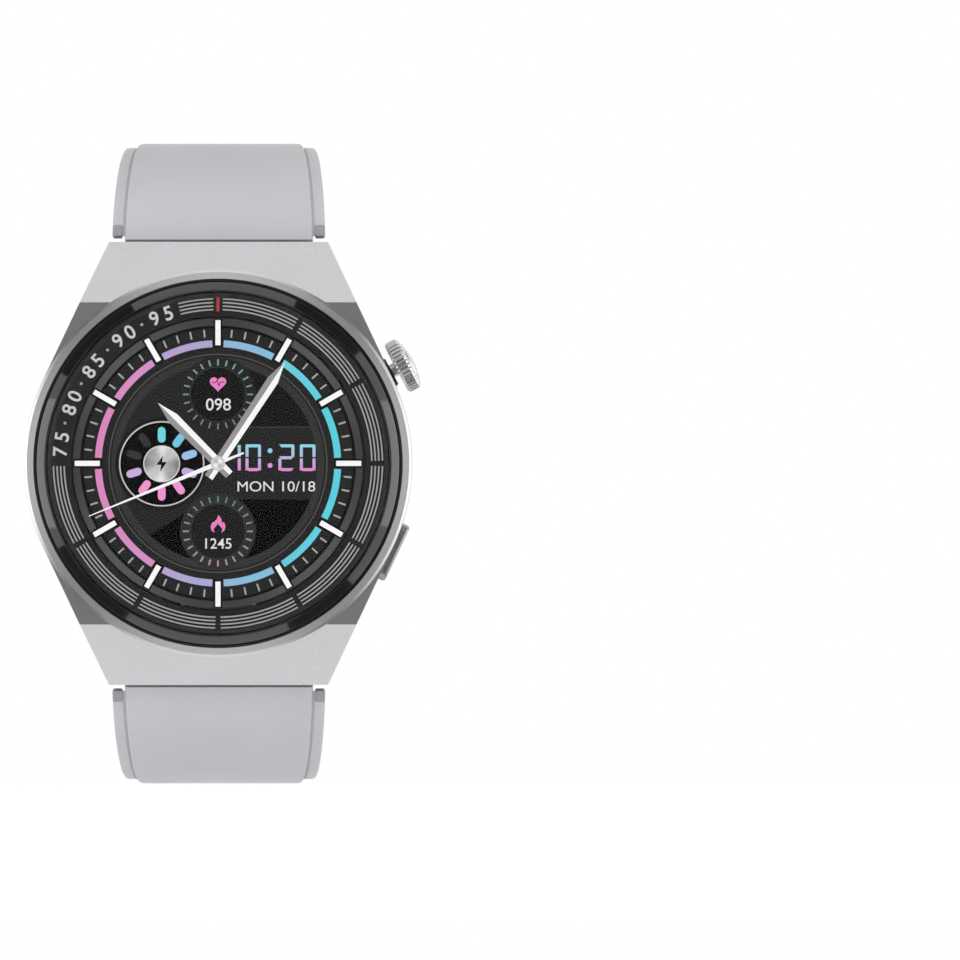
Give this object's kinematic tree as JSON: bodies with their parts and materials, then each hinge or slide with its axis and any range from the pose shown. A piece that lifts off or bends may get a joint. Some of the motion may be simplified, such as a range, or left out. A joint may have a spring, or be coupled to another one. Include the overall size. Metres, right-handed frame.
{
  "type": "smartwatch",
  "caption": "Round smartwatch with a glossy bezel, push-and-turn crown, side button and an unbuckled two-piece silicone strap with pin buckle.",
  "frame": {"origin": "centre of the outer face of the optical sensor window on the case back", "axes": "+X to 3 o'clock (crown side), +Y out of the case back towards the wrist (the dial faces -Y), +Z to 12 o'clock"},
  "size_m": [0.047, 0.074, 0.0766],
  "materials": {
    "case_metal": "satin blasted, brushed end facets",
    "bezel_gloss": "polished black",
    "crystal": "polished",
    "scale_print": "black with light grey printed scale",
    "display": "lit display",
    "seal": "matte",
    "inner_plastic": "fine grain",
    "back_plastic": "satin",
    "sensor_glass": "polished black",
    "circuit_board": "solder mask",
    "steel": "bright",
    "gold": "gold plated",
    "battery": "foil pouch",
    "chip": "matte",
    "crown_metal": "polished, fluted",
    "button_metal": "satin grey",
    "silicone": "soft matte light grey",
    "buckle_metal": "brushed"
  },
  "bodies": {
    "case": {"case_body": "case_metal", "bezel_ring": "bezel_gloss", "bezel_gasket": "seal", "crystal_gasket": "seal", "scale_ring": "scale_print", "crystal": "crystal", "display_panel": "display", "display_backplate": "steel", "display_flex": "gold", "inner_frame": "inner_plastic", "main_board": "circuit_board", "shield_can": "steel", "processor_chip": "chip", "battery_cell": "battery", "speaker_module": "inner_plastic", "vibration_motor": "steel", "microphone": "gold", "side_key_flex": "gold", "back_cover": "back_plastic", "back_gasket": "seal", "back_screw_1": "steel", "back_screw_2": "steel", "back_screw_3": "steel", "back_screw_4": "steel", "sensor_window": "sensor_glass", "light_baffle": "seal", "sensor_board": "circuit_board", "sensor_led_1": "gold", "sensor_led_2": "gold", "photodiode": "chip", "charge_contact_1": "gold", "charge_contact_2": "gold", "charge_magnet_1": "steel", "charge_magnet_2": "steel", "crown_tube": "inner_plastic", "crown_switch": "steel", "button_switch": "steel"},
    "crown_slider": {"crown_plunger": "inner_plastic"},
    "crown": {"crown_knob": "crown_metal", "crown_stem": "steel", "crown_o_ring": "seal", "crown_clip": "steel"},
    "button": {"button_cap": "button_metal", "button_stem": "steel", "button_seal": "seal", "button_clip": "steel"},
    "strap_12": {"strap_upper": "silicone", "spring_bar_12": "steel", "fixed_keeper": "silicone"},
    "release_12": {"release_pin_12": "steel"},
    "strap_6": {"strap_lower": "silicone", "spring_bar_6": "steel"},
    "release_6": {"release_pin_6": "steel"},
    "keeper": {"free_keeper": "silicone"},
    "buckle": {"buckle_frame": "buckle_metal", "buckle_pin": "steel"},
    "tongue": {"buckle_tongue": "buckle_metal"}
  },
  "joints": [
    {"name": "crown_press", "type": "slide", "parent": "case", "child": "crown_slider", "axis": [-0.8828, 0, -0.4698], "range_m": [0, 0.0005], "stiffness_N_per_m": 2500, "springref_m": -0.0002},
    {"name": "crown_turn", "type": "hinge", "parent": "crown_slider", "child": "crown", "pos_m": [0.02119, -0.0059, 0.01128], "axis": [0.8828, 0, 0.4698], "continuous": true},
    {"name": "button_press", "type": "slide", "parent": "case", "child": "button", "axis": [-0.9039, 0, 0.4277], "range_m": [0, 0.0003], "stiffness_N_per_m": 3000, "springref_m": -0.0002},
    {"name": "strap_12_pivot", "type": "hinge", "parent": "case", "child": "strap_12", "pos_m": [0, -0.0039, 0.0242], "axis": [1, 0, 0], "range_deg": [-5, 12]},
    {"name": "strap_6_pivot", "type": "hinge", "parent": "case", "child": "strap_6", "pos_m": [0, -0.0039, -0.0242], "axis": [-1, 0, 0], "range_deg": [-3, 12]},
    {"name": "release_12_slide", "type": "slide", "parent": "strap_12", "child": "release_12", "axis": [-1, 0, 0], "range_m": [0, 0.0014], "stiffness_N_per_m": 900, "springref_m": -0.0005},
    {"name": "release_6_slide", "type": "slide", "parent": "strap_6", "child": "release_6", "axis": [-1, 0, 0], "range_m": [0, 0.0014], "stiffness_N_per_m": 900, "springref_m": -0.0005},
    {"name": "keeper_slide", "type": "slide", "parent": "strap_12", "child": "keeper", "axis": [0, 0, 1], "range_m": [0, 0.004]},
    {"name": "buckle_pivot", "type": "hinge", "parent": "strap_12", "child": "buckle", "pos_m": [0, 0.03685, -0.0079], "axis": [1, 0, 0], "range_deg": [-25, 30]},
    {"name": "tongue_pivot", "type": "hinge", "parent": "buckle", "child": "tongue", "pos_m": [0, 0.03685, -0.0079], "axis": [1, 0, 0], "range_deg": [0, 60]}
  ]
}
